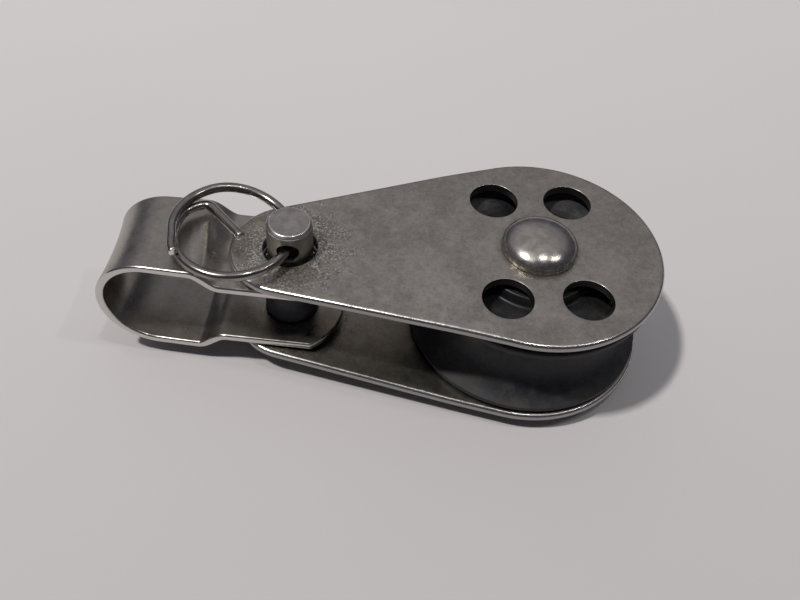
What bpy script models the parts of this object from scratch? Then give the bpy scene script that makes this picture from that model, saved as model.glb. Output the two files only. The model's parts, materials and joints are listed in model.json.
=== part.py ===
"""Single sheave block with a shackle strap, a clevis pin and a cotter ring.

The block lies on its side.  The axle stands on the Z axis, and its lower
head rests on the plane z = 0.  The clevis pin is on the -X side.
Everything is in metres.
"""

import math

import bmesh
import bpy
from mathutils import Matrix, Vector

MM = 0.001

# ---- cheeks: two pear-shaped plates -------------------------------------
SHEET = 1.0 * MM
BIG_END_RADIUS = 13.9 * MM
SMALL_END_RADIUS = 6.6 * MM
PIN_TO_AXLE = 27.3 * MM
CHEEK_GAP = 11.5 * MM
CRANK_START = 7.4 * MM
CRANK_INWARD = 0.8 * MM
CRANK_BLEND = 4.0 * MM
LIGHTENING_CIRCLE_RADIUS = 8.6 * MM
LIGHTENING_HOLE_RADIUS = 2.75 * MM
LIGHTENING_HOLE_ANGLES = (60, 120, 240, 300)
CHEEK_PIN_HOLE_CLEARANCE = 0.5 * MM
CHEEK_EDGE_ROUND = 0.25 * MM

# ---- axle: a rivet through a steel bush ---------------------------------
RIVET_SHANK_RADIUS = 2.5 * MM
RIVET_HEAD_RADIUS = 4.2 * MM
RIVET_SKIRT = 0.4 * MM
RIVET_DOME = 1.8 * MM
FOOT_HEIGHT = 1.6 * MM
FOOT_SKIRT = 0.4 * MM
FOOT_FLAT_RADIUS = 2.6 * MM
BUSH_WALL = 1.0 * MM
FIXED_GAP = 0.1 * MM
FACE_GAP = 0.05 * MM

# ---- sheave -------------------------------------------------------------
SHEAVE_INSET = 0.4 * MM
SHEAVE_LOWER_GAP = 0.12 * MM
SHEAVE_UPPER_GAP = 0.6 * MM
RIM_LAND = 0.7 * MM
RIM_ROUND = 0.3 * MM
GROOVE_DEPTH = 3.0 * MM
WEB_RECESS = 1.2 * MM
HUB_WALL = 2.4 * MM
HUB_TAPER = 0.3 * MM
RIM_WALL = 1.1 * MM
RIM_LIP = 0.1 * MM
RUNNING_GAP = 0.1 * MM

# ---- shackle strap: two tabs joggled out to a round eye -----------------
STRAP_SHEET = 0.9 * MM
STRAP_HALF_WIDTH = 5.75 * MM
STRAP_WAIST = 0.3 * MM
TAB_OUTER_GAP = 0.17 * MM
TAB_END = 6.0 * MM
TAB_END_ROUND = 7.0 * MM
TAB_HOLE_CLEARANCE = 0.3 * MM
JOGGLE_CLEARANCE = 0.15 * MM
JOGGLE_LENGTH = 3.2 * MM
EYE_RUN = 4.55 * MM
EYE_INSET = 0.45 * MM
STRAP_REST_ANGLE = math.radians(-6.5)
STRAP_EDGE_ROUND = 0.15 * MM

# ---- clevis pin, its spacer and the cotter ring -------------------------
PIN_RADIUS = 2.5 * MM
PIN_HEAD_RADIUS = 4.0 * MM
PIN_HEAD_GAP = 0.08 * MM
PIN_CROWN = 1.1 * MM
PIN_CHAMFER = 0.3 * MM
CROSS_HOLE_CLEARANCE = 0.67 * MM
RING_ABOVE_CHEEK = 0.97 * MM
SPACER_WALL = 0.4 * MM
SPACER_BORE_GAP = 0.1 * MM
SPACER_END_GAP = 0.2 * MM
WIRE_RADIUS = 0.53 * MM
RING_RADIUS = 6.25 * MM
RING_SEAT = 0.15 * MM
RING_TURN = math.radians(-3.0)
RING_LAYER_GAP = 0.08 * MM
RING_FLARE = 0.6 * MM
RING_FLARE_ANGLE = 25
RING_FREE_END = 219
RING_LIFT_END = 120
RING_LEVEL_FROM = 35
RING_INWARD_FROM = -205
RING_BEND = -233
RING_BEND_INWARD = 0.8 * MM
RING_BEND_ROUND = 0.9 * MM
RING_TAIL_TIP = (0.95 * MM, -0.4 * MM)

# ---- levels worked out from the sizes above -----------------------------
MID = FOOT_HEIGHT + SHEET + CHEEK_GAP / 2
CHEEK_INNER = CHEEK_GAP / 2
SHEAVE_RADIUS = BIG_END_RADIUS - SHEAVE_INSET
EYE_OUTER_RADIUS = CHEEK_INNER + SHEET - EYE_INSET
EYE_CENTRE = SMALL_END_RADIUS + JOGGLE_CLEARANCE + JOGGLE_LENGTH + EYE_RUN
CROSS_HOLE_RADIUS = WIRE_RADIUS + CROSS_HOLE_CLEARANCE
CROSS_HOLE_HEIGHT = WIRE_RADIUS + RING_ABOVE_CHEEK
PIN_ABOVE_CHEEK = CROSS_HOLE_HEIGHT + CROSS_HOLE_RADIUS + PIN_CROWN
RING_CENTRE_TO_PIN = RING_RADIUS - RING_SEAT
RING_BEND_RADIUS = RING_RADIUS - RING_BEND_INWARD
PIN_X = -PIN_TO_AXLE
CRANK_SLOPE = CRANK_INWARD / (PIN_TO_AXLE - CRANK_START - CRANK_BLEND / 2)

ROUND_STEPS = 48
COLLECTION = "single_sheave_block"
CUTTER_COLLECTION = "cutters"


# ---- scene and helpers --------------------------------------------------
def clear_scene():
    for item in list(bpy.data.objects):
        bpy.data.objects.remove(item, do_unlink=True)


def new_collection(name, hidden=False):
    made = bpy.data.collections.new(name)
    bpy.context.scene.collection.children.link(made)
    made.hide_render = hidden
    return made


def make_material(name, colour, roughness, metallic):
    material = bpy.data.materials.new(name)
    material.use_nodes = True
    shader = material.node_tree.nodes["Principled BSDF"]
    shader.inputs["Base Color"].default_value = (*colour, 1.0)
    shader.inputs["Roughness"].default_value = roughness
    shader.inputs["Metallic"].default_value = metallic
    material.diffuse_color = (*colour, 1.0)
    return material


def object_from_bmesh(name, shape, collection, material=None):
    mesh = bpy.data.meshes.new(name)
    shape.to_mesh(mesh)
    shape.free()
    made = bpy.data.objects.new(name, mesh)
    collection.objects.link(made)
    if material:
        mesh.materials.append(material)
    return made


def smooth(obj, angle=math.radians(35)):
    obj.data.shade_smooth()
    obj.data.set_sharp_from_angle(angle=angle)


def turned(name, profile, collection, material=None, closed=False, steps=ROUND_STEPS):
    """Turn (radius, z) points about Z; the profile runs down its outer side."""
    shape = bmesh.new()
    points = [shape.verts.new((radius, 0.0, z)) for radius, z in profile]
    for first, second in zip(points, points[1:]):
        shape.edges.new((first, second))
    if closed:
        shape.edges.new((points[-1], points[0]))
    made = object_from_bmesh(name, shape, collection, material)
    screw = made.modifiers.new("Turn", "SCREW")
    screw.axis = "Z"
    screw.steps = steps
    screw.render_steps = steps
    screw.use_merge_vertices = True
    screw.merge_threshold = 0.00001
    screw.use_smooth_shade = True
    return made


def mesh_of(curve_object, name, collection, material=None):
    """Replace a curve object with the mesh that it makes, its caps welded."""
    bpy.context.view_layer.update()
    graph = bpy.context.evaluated_depsgraph_get()
    mesh = bpy.data.meshes.new_from_object(curve_object.evaluated_get(graph))
    mesh.name = name
    welded = bmesh.new()
    welded.from_mesh(mesh)
    bmesh.ops.remove_doubles(welded, verts=welded.verts, dist=0.000001)
    welded.to_mesh(mesh)
    welded.free()
    made = bpy.data.objects.new(name, mesh)
    made.matrix_world = curve_object.matrix_world
    collection.objects.link(made)
    bpy.data.objects.remove(curve_object, do_unlink=True)
    mesh.materials.clear()
    if material:
        mesh.materials.append(material)
    return made


def slab(name, outlines, half_thickness, collection, material=None, edge_round=0.0):
    """Flat closed outlines in XY, given thickness both ways along Z.

    An outline inside another one is a hole.
    """
    curve = bpy.data.curves.new(name, "CURVE")
    curve.dimensions = "2D"
    curve.fill_mode = "BOTH"
    curve.extrude = half_thickness - edge_round
    curve.bevel_depth = edge_round
    curve.bevel_resolution = 1
    curve.offset = -edge_round
    for outline in outlines:
        spline = curve.splines.new("POLY")
        spline.points.add(len(outline) - 1)
        for point, (x, y) in zip(spline.points, outline):
            point.co = (x, y, 0.0, 1.0)
        spline.use_cyclic_u = True
    flat = bpy.data.objects.new(name + "_outline", curve)
    collection.objects.link(flat)
    return mesh_of(flat, name, collection, material)


def upright_cutter(name, x, y, z, radius, half_height, steps=24):
    shape = bmesh.new()
    bmesh.ops.create_cone(
        shape, cap_ends=True, segments=steps, radius1=radius, radius2=radius,
        depth=2 * half_height,
    )
    made = object_from_bmesh(name, shape, cutters)
    made.location = (x, y, z)
    as_helper(made)
    return made


def as_helper(obj):
    obj.hide_render = True
    obj.display_type = "WIRE"


def cut(obj, cutter, operation="DIFFERENCE"):
    boolean = obj.modifiers.new(cutter.name, "BOOLEAN")
    boolean.operation = operation
    boolean.solver = "EXACT"
    boolean.object = cutter


def round_edges(obj, width, segments=2):
    bevel = obj.modifiers.new("Round edges", "BEVEL")
    bevel.width = width
    bevel.segments = segments
    bevel.limit_method = "ANGLE"
    bevel.angle_limit = math.radians(50)
    bevel.use_clamp_overlap = False


def arc(centre, radius, start, end, steps):
    """Points on an arc in a plane; the angles are in radians."""
    points = []
    for step in range(steps + 1):
        angle = start + (end - start) * step / steps
        points.append((centre[0] + radius * math.cos(angle), centre[1] + radius * math.sin(angle)))
    return points


def ease(amount):
    """A smooth step from 0 to 1."""
    amount = min(1.0, max(0.0, amount))
    return amount * amount * (3 - 2 * amount)


# ---- cheeks -------------------------------------------------------------
def crank_drop(x):
    """How far a cheek has come in towards the middle plane at this x."""
    beyond = max(0.0, -x - CRANK_START)
    if beyond < CRANK_BLEND:
        return CRANK_SLOPE * beyond * beyond / (2 * CRANK_BLEND)
    return CRANK_SLOPE * (beyond - CRANK_BLEND / 2)


def cheek_outline():
    """The taut band around the big end circle and the small end circle."""
    lean = math.asin((BIG_END_RADIUS - SMALL_END_RADIUS) / PIN_TO_AXLE)
    corner = math.pi / 2 + lean
    big = arc((0.0, 0.0), BIG_END_RADIUS, -corner, corner, 38)
    small = arc((PIN_X, 0.0), SMALL_END_RADIUS, corner, 2 * math.pi - corner, 16)
    return big + small


def ring_of_points(x, y, radius, steps=24):
    return arc((x, y), radius, 0.0, 2 * math.pi * (1 - 1 / steps), steps - 1)


def make_cheek(name, side, material):
    """side is 1 for the upper plate and -1 for the lower one."""
    outlines = [
        cheek_outline(),
        ring_of_points(0.0, 0.0, RIVET_SHANK_RADIUS + FIXED_GAP),
        ring_of_points(PIN_X, 0.0, PIN_RADIUS + CHEEK_PIN_HOLE_CLEARANCE),
    ]
    for angle in LIGHTENING_HOLE_ANGLES:
        x = LIGHTENING_CIRCLE_RADIUS * math.cos(math.radians(angle))
        y = LIGHTENING_CIRCLE_RADIUS * math.sin(math.radians(angle))
        outlines.append(ring_of_points(x, y, LIGHTENING_HOLE_RADIUS))
    plate = slab(name, outlines, SHEET / 2, parts, material, CHEEK_EDGE_ROUND)
    bent = bmesh.new()
    bent.from_mesh(plate.data)
    for step in range(3):
        x = -CRANK_START - CRANK_BLEND * step / 2
        bmesh.ops.bisect_plane(
            bent, geom=bent.verts[:] + bent.edges[:] + bent.faces[:], dist=0.0000001,
            plane_co=(x, 0.0, 0.0), plane_no=(1.0, 0.0, 0.0),
        )
    level = side * (CHEEK_INNER + SHEET / 2)
    for vertex in bent.verts:
        vertex.co.z += level - side * crank_drop(vertex.co.x)
    bent.to_mesh(plate.data)
    bent.free()
    plate.location = (0.0, 0.0, MID)
    smooth(plate)
    return plate


# ---- axle ---------------------------------------------------------------
def dome(radius, base_z, height, flat_radius, steps, up=True):
    """Points of a domed head from its middle, or from its flat, to its edge."""
    points = []
    for step in range(steps + 1):
        share = step / steps
        r = flat_radius + (radius - flat_radius) * math.sin(share * math.pi / 2)
        rise = height * math.cos(share * math.pi / 2)
        points.append((r, base_z + rise if up else base_z - rise))
    return points


def make_rivet(material):
    top = MID + CHEEK_INNER + SHEET + FACE_GAP
    bottom = FOOT_HEIGHT - FACE_GAP
    upper = dome(RIVET_HEAD_RADIUS, top + RIVET_SKIRT, RIVET_DOME, 0.0, 7)
    lower = dome(
        RIVET_HEAD_RADIUS, bottom - FOOT_SKIRT,
        bottom - FOOT_SKIRT, FOOT_FLAT_RADIUS, 4, up=False,
    )
    profile = upper + [
        (RIVET_HEAD_RADIUS, top),
        (RIVET_SHANK_RADIUS, top),
        (RIVET_SHANK_RADIUS, bottom),
        (RIVET_HEAD_RADIUS, bottom),
    ]
    profile += lower[::-1] + [(0.0, 0.0)]
    return turned("axle_rivet", profile, parts, material)


def make_bush(material):
    inner = RIVET_SHANK_RADIUS + FIXED_GAP
    outer = RIVET_SHANK_RADIUS + FIXED_GAP + BUSH_WALL
    top = MID + CHEEK_INNER - FIXED_GAP
    bottom = MID - CHEEK_INNER + FIXED_GAP
    profile = [(outer, top), (outer, bottom), (inner, bottom), (inner, top)]
    return turned("axle_bush", profile, parts, material, closed=True, steps=32)


# ---- sheave -------------------------------------------------------------
def make_sheave(material):
    """The sheave lies on the lower cheek's side of the space, clear of both cranked cheeks."""
    bore = RIVET_SHANK_RADIUS + FIXED_GAP + BUSH_WALL + RUNNING_GAP
    inner = CHEEK_INNER - crank_drop(-SHEAVE_RADIUS)
    half = inner - (SHEAVE_LOWER_GAP + SHEAVE_UPPER_GAP) / 2
    level = MID + (SHEAVE_LOWER_GAP - SHEAVE_UPPER_GAP) / 2
    hub = bore + HUB_WALL
    groove_half = half - RIM_LAND
    web_outer = SHEAVE_RADIUS - RIM_WALL
    groove_radius = (groove_half ** 2 + GROOVE_DEPTH ** 2) / (2 * GROOVE_DEPTH)
    groove_centre = SHEAVE_RADIUS - GROOVE_DEPTH + groove_radius
    spread = math.asin(groove_half / groove_radius)
    side = [
        (bore, half),
        (hub, half),
        (hub + HUB_TAPER, half - WEB_RECESS),
        (web_outer - GROOVE_DEPTH, half - WEB_RECESS),
        (web_outer, half - WEB_RECESS / 4),
        (web_outer + RIM_LIP, half),
        (SHEAVE_RADIUS - RIM_ROUND, half),
        (SHEAVE_RADIUS, half - RIM_ROUND),
    ]
    steps = 12
    groove = []
    for step in range(steps + 1):
        angle = spread * (1 - 2 * step / steps)
        groove.append((
            groove_centre - groove_radius * math.cos(angle),
            groove_radius * math.sin(angle),
        ))
    profile = side + groove + [(r, -z) for r, z in side[::-1]]
    profile = [(r, level + z) for r, z in profile]
    return turned("sheave", profile, parts, material, closed=True, steps=64)


# ---- shackle strap ------------------------------------------------------
def strap_section():
    """The strap's middle line as (u, z), from one tab end round to the other.

    u runs from the pin's axis out towards the eye.
    """
    tip_drop = crank_drop(PIN_X - SMALL_END_RADIUS)
    tab = CHEEK_INNER - tip_drop - TAB_OUTER_GAP - STRAP_SHEET / 2
    eye = EYE_OUTER_RADIUS - STRAP_SHEET / 2
    start = SMALL_END_RADIUS + JOGGLE_CLEARANCE
    upper = [(-TAB_END - STRAP_SHEET, tab)]
    joggle_steps = 10
    for step in range(joggle_steps + 1):
        share = step / joggle_steps
        upper.append((start + JOGGLE_LENGTH * share, tab + (eye - tab) * ease(share)))
    bend = arc((EYE_CENTRE, 0.0), eye, math.pi / 2, -math.pi / 2, 22)
    lower = [(u, -z) for u, z in upper[::-1]]
    return upper + bend + lower


def offset_line(points, amount):
    """The line moved sideways by amount, to the left of its direction."""
    moved = []
    last = len(points) - 1
    for index, (x, y) in enumerate(points):
        before = points[max(0, index - 1)]
        after = points[min(last, index + 1)]
        run_x = after[0] - before[0]
        run_y = after[1] - before[1]
        run = math.hypot(run_x, run_y)
        moved.append((x - amount * run_y / run, y + amount * run_x / run))
    return moved


def strap_plan():
    """The strap seen along the pin: flat-arched tab end, waisted eye."""
    back = TAB_END_ROUND - TAB_END
    turn = math.asin(STRAP_HALF_WIDTH / TAB_END_ROUND)
    outline = arc((-back, 0.0), TAB_END_ROUND, -turn, turn, 12)
    far = EYE_CENTRE + EYE_OUTER_RADIUS + STRAP_SHEET
    waist_steps = 10
    side = []
    for step in range(waist_steps + 1):
        share = step / waist_steps
        u = EYE_CENTRE - EYE_OUTER_RADIUS + (far - EYE_CENTRE + EYE_OUTER_RADIUS) * share
        side.append((u, STRAP_HALF_WIDTH - STRAP_WAIST * ease(share)))
    outline += [(-u, v) for u, v in side]
    outline += [(-u, -v) for u, v in side[::-1]]
    return outline


def make_strap(material):
    middle = strap_section()
    outer = offset_line(middle, STRAP_SHEET / 2)
    inner = offset_line(middle, -STRAP_SHEET / 2)
    section = [(-u, z) for u, z in outer + inner[::-1]]
    strap = slab("strap", [section], STRAP_HALF_WIDTH * 1.5, parts, material)
    strap.data.transform(Matrix.Rotation(math.pi / 2, 4, "X"))
    plan = slab("strap_plan", [strap_plan()], EYE_OUTER_RADIUS * 2, cutters)
    hole = upright_cutter(
        "strap_pin_hole", 0.0, 0.0, 0.0, PIN_RADIUS + TAB_HOLE_CLEARANCE, EYE_OUTER_RADIUS * 2
    )
    strap_place = bpy.data.objects.new("strap_axis", None)
    parts.objects.link(strap_place)
    strap_place.location = (PIN_X, 0.0, MID)
    strap_place.rotation_euler = (0.0, 0.0, STRAP_REST_ANGLE)
    as_helper(plan)
    for piece in (strap, plan, hole):
        piece.parent = strap_place
        piece.location = (0.0, 0.0, 0.0)
    cut(strap, plan, "INTERSECT")
    cut(strap, hole)
    round_edges(strap, STRAP_EDGE_ROUND)
    smooth(strap)
    return strap


# ---- clevis pin and spacer ----------------------------------------------
def make_pin(material):
    cheek_top = MID + CHEEK_INNER + SHEET - crank_drop(PIN_X)
    lowest_under_cheek = MID - CHEEK_INNER - SHEET + crank_drop(PIN_X + PIN_HEAD_RADIUS)
    top = cheek_top + PIN_ABOVE_CHEEK
    head_top = lowest_under_cheek - PIN_HEAD_GAP
    profile = [
        (0.0, top),
        (PIN_RADIUS - PIN_CHAMFER, top),
        (PIN_RADIUS, top - PIN_CHAMFER),
        (PIN_RADIUS, head_top),
        (PIN_HEAD_RADIUS - PIN_CHAMFER, head_top),
        (PIN_HEAD_RADIUS, head_top - PIN_CHAMFER),
        (PIN_HEAD_RADIUS, PIN_CHAMFER),
        (PIN_HEAD_RADIUS - PIN_CHAMFER, 0.0),
        (0.0, 0.0),
    ]
    pin = turned("clevis_pin", profile, parts, material, steps=40)
    pin.location = (PIN_X, 0.0, 0.0)
    hole = upright_cutter("cross_hole", 0.0, 0.0, 0.0, CROSS_HOLE_RADIUS, PIN_RADIUS * 2)
    hole.data.transform(Matrix.Rotation(math.pi / 2, 4, "X"))
    hole.location = (PIN_X, 0.0, cheek_top + CROSS_HOLE_HEIGHT)
    hole.rotation_euler = (0.0, 0.0, RING_TURN)
    cut(pin, hole)
    return pin


def make_spacer(material):
    tip_drop = crank_drop(PIN_X - SMALL_END_RADIUS)
    half = CHEEK_INNER - tip_drop - TAB_OUTER_GAP - STRAP_SHEET - SPACER_END_GAP
    inner = PIN_RADIUS + SPACER_BORE_GAP
    outer = inner + SPACER_WALL
    profile = [(outer, MID + half), (outer, MID - half), (inner, MID - half), (inner, MID + half)]
    spacer = turned("pin_spacer", profile, parts, material, closed=True, steps=32)
    spacer.location = (PIN_X, 0.0, 0.0)
    return spacer


# ---- cotter ring --------------------------------------------------------
def ring_route():
    """The wire's middle line about the ring's centre, from its free end to its tail."""
    layer = 2 * WIRE_RADIUS + RING_LAYER_GAP
    route = []
    step = 9
    angle = RING_FREE_END
    while angle >= RING_BEND + step:
        turn = math.radians(angle)
        lift = layer * ease((angle - RING_LEVEL_FROM) / (RING_LIFT_END - RING_LEVEL_FROM))
        inward = ease((RING_INWARD_FROM - angle) / (RING_INWARD_FROM - RING_BEND))
        flare = ease((angle - RING_FREE_END + RING_FLARE_ANGLE) / RING_FLARE_ANGLE) * RING_FLARE
        radius = RING_RADIUS - (RING_RADIUS - RING_BEND_RADIUS) * inward + flare
        route.append(Vector((radius * math.cos(turn), radius * math.sin(turn), lift)))
        angle -= step
    turn = math.radians(RING_BEND)
    corner = Vector((RING_BEND_RADIUS * math.cos(turn), RING_BEND_RADIUS * math.sin(turn), 0.0))
    tip = Vector((*RING_TAIL_TIP, 0.0))
    arrive = (corner - route[-1]).normalized()
    leave = (tip - corner).normalized()
    bend_steps = 4
    for index in range(bend_steps + 1):
        share = index / bend_steps
        start = corner - arrive * RING_BEND_ROUND
        end = corner + leave * RING_BEND_ROUND
        mix = start.lerp(corner, share).lerp(corner.lerp(end, share), share)
        route.append(mix)
    route.append(tip)
    return route


def make_ring(material):
    cheek_top = MID + CHEEK_INNER + SHEET - crank_drop(PIN_X)
    curve = bpy.data.curves.new("cotter_ring", "CURVE")
    curve.dimensions = "3D"
    curve.bevel_depth = WIRE_RADIUS
    curve.bevel_resolution = 2
    curve.use_fill_caps = True
    route = ring_route()
    spline = curve.splines.new("POLY")
    spline.points.add(len(route) - 1)
    for point, place in zip(spline.points, route):
        point.co = (place.x - RING_CENTRE_TO_PIN, place.y, place.z, 1.0)
    ring = bpy.data.objects.new("cotter_ring", curve)
    parts.objects.link(ring)
    curve.materials.append(material)
    ring.location = (PIN_X, 0.0, cheek_top + CROSS_HOLE_HEIGHT)
    ring.rotation_euler = (0.0, 0.0, RING_TURN)
    return ring


# ---- the block ----------------------------------------------------------
clear_scene()
parts = new_collection(COLLECTION)
cutters = new_collection(CUTTER_COLLECTION, hidden=True)

stainless = make_material("stainless_plate", (0.42, 0.40, 0.37), 0.38, 1.0)
polished = make_material("polished_steel", (0.62, 0.60, 0.57), 0.2, 1.0)
wire = make_material("spring_wire", (0.55, 0.53, 0.50), 0.28, 1.0)
nylon = make_material("dark_nylon", (0.035, 0.035, 0.037), 0.5, 0.0)

make_cheek("upper_cheek", 1, stainless)
make_cheek("lower_cheek", -1, stainless)
make_rivet(polished)
make_bush(polished)
make_sheave(nylon)
make_strap(stainless)
make_pin(polished)
make_spacer(nylon)
make_ring(wire)
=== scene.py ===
# %% [markdown]
# # The looks of a single sheave block
#
# The block is a small piece of boat hardware: two stamped stainless cheeks,
# a nylon sheave turning on a riveted axle, and a folded shackle strap held by
# a clevis pin and a cotter ring.  Its working shape is already packed as a
# frame.  This lesson builds a fine surface over each piece of that frame and
# gives every piece the finish it has in use.  The first cell loads the frame
# and keeps its box, which the last cell prints beside the box of the new pieces.
# The first cell loads the frame and keeps its box, because nothing made here may
# grow past it.

import json
import math

import bmesh
import bpy
import numpy as np
from mathutils import Matrix, Vector


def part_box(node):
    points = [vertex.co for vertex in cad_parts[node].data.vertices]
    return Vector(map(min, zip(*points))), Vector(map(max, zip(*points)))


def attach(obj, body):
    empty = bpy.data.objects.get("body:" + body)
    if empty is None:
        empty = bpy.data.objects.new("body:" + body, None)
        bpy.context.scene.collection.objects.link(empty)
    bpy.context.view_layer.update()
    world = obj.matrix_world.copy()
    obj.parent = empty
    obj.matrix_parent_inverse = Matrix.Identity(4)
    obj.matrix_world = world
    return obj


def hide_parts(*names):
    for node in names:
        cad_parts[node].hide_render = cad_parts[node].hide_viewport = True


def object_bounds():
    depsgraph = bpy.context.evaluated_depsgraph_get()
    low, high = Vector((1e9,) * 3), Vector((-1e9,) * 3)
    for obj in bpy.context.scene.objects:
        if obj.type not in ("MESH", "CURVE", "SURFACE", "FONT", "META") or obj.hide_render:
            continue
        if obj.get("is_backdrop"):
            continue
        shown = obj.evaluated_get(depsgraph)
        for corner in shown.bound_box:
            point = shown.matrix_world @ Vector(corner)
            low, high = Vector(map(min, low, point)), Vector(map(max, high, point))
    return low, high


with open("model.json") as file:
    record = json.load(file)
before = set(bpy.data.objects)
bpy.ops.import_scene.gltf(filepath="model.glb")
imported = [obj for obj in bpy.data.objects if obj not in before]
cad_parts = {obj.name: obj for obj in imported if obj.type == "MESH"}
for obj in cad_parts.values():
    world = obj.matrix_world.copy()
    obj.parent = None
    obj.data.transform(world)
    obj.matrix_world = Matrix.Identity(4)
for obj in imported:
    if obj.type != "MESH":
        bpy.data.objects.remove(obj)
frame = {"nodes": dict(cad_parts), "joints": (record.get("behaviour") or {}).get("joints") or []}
CAD_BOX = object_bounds()
MM = 0.001
print("nodes in the frame:", ", ".join(sorted(frame["nodes"])))

# %% [markdown]
# ## Places that everything hangs on
#
# Three axes matter: the axle that the sheave turns on, the clevis pin, and the
# cross-hole that the ring flips about.  They are joints of the frame, so they
# are read from it.  The levels of the plates come from the boxes of the cheeks.

# %% Axes and levels
JOINTS = {joint["name"]: joint for joint in frame["joints"]}
AXLE = Vector(JOINTS["sheave_spin"]["pos_m"])
PIN = Vector(JOINTS["strap_swing"]["pos_m"])
RING_HINGE = Vector(JOINTS["ring_flip"]["pos_m"])
RING_TURN = -math.atan2(JOINTS["ring_flip"]["axis"][0], JOINTS["ring_flip"]["axis"][1])

upper_low, upper_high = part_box("upper_cheek")
lower_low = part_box("lower_cheek")[0]
SHEET = 1.0 * MM
MID = AXLE.z
CHEEK_TOP = upper_high.z
CHEEK_INNER = CHEEK_TOP - SHEET - MID
BIG_RADIUS = upper_high.y
SMALL_RADIUS = PIN.x - upper_low.x
print(f"middle plane {MID / MM:.2f} mm, cheek top {CHEEK_TOP / MM:.2f} mm, pin at {PIN.x / MM:.1f} mm")

# %% [markdown]
# ## The stage
#
# The block lies on a pale sheet of card.  A raised edge would catch the light,
# so the floor is one wide plane, tilted nowhere and far larger than the view.
# One lamp from the left gives the soft-edged shadow, and two weaker ones, one
# overhead and one to the right, draw the other highlights on the rivet.  A
# polished edge shows its room more than its own colour, so the world shader is
# bright only high up behind the block, and dark everywhere else.

# %% Shader maths
class Signal:
    """One value on its way through a node tree; arithmetic on it adds Math nodes."""

    def __init__(self, nodes, socket):
        self.nodes = nodes
        self.socket = socket

    def math(self, operation, *others):
        return self.nodes.node("ShaderNodeMath", {"operation": operation}, [self, *others])

    def __add__(self, other):
        return self.math("ADD", other)

    def __sub__(self, other):
        return self.math("SUBTRACT", other)

    def __rsub__(self, other):
        return self.nodes.node("ShaderNodeMath", {"operation": "SUBTRACT"}, [other, self])

    def __mul__(self, other):
        return self.math("MULTIPLY", other)

    def __truediv__(self, other):
        return self.math("DIVIDE", other)

    __radd__ = __add__

    def step(self, low, high):
        """0 below low, 1 above high, smooth between; a low above high turns it round."""
        settings = {"interpolation_type": "SMOOTHSTEP"}
        if low < high:
            return self.nodes.node("ShaderNodeMapRange", settings, [self, low, high])
        return 1 - self.nodes.node("ShaderNodeMapRange", settings, [self, high, low])


class Nodes:
    """A node tree whose nodes are added by method calls."""

    def __init__(self, tree):
        self.tree = tree

    def node(self, kind, settings=None, values=(), out=0):
        """Add any node: its settings first, then the values or links of its sockets."""
        made = self.tree.nodes.new(kind)
        for name, value in (settings or {}).items():
            if name == "stops":
                while len(made.color_ramp.elements) < len(value):
                    made.color_ramp.elements.new(0.5)
                for element, (place, colour) in zip(made.color_ramp.elements, value):
                    element.position = place
                    element.color = (*colour, 1.0)
            else:
                setattr(made, name, value)
        pairs = values.items() if isinstance(values, dict) else enumerate(values)
        for name, value in pairs:
            if isinstance(value, Signal):
                self.tree.links.new(value.socket, made.inputs[name])
            else:
                made.inputs[name].default_value = value
        return Signal(self, made.outputs[out])

    def vector(self, operation, values, out=0):
        return self.node("ShaderNodeVectorMath", {"operation": operation}, values, out)


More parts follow.
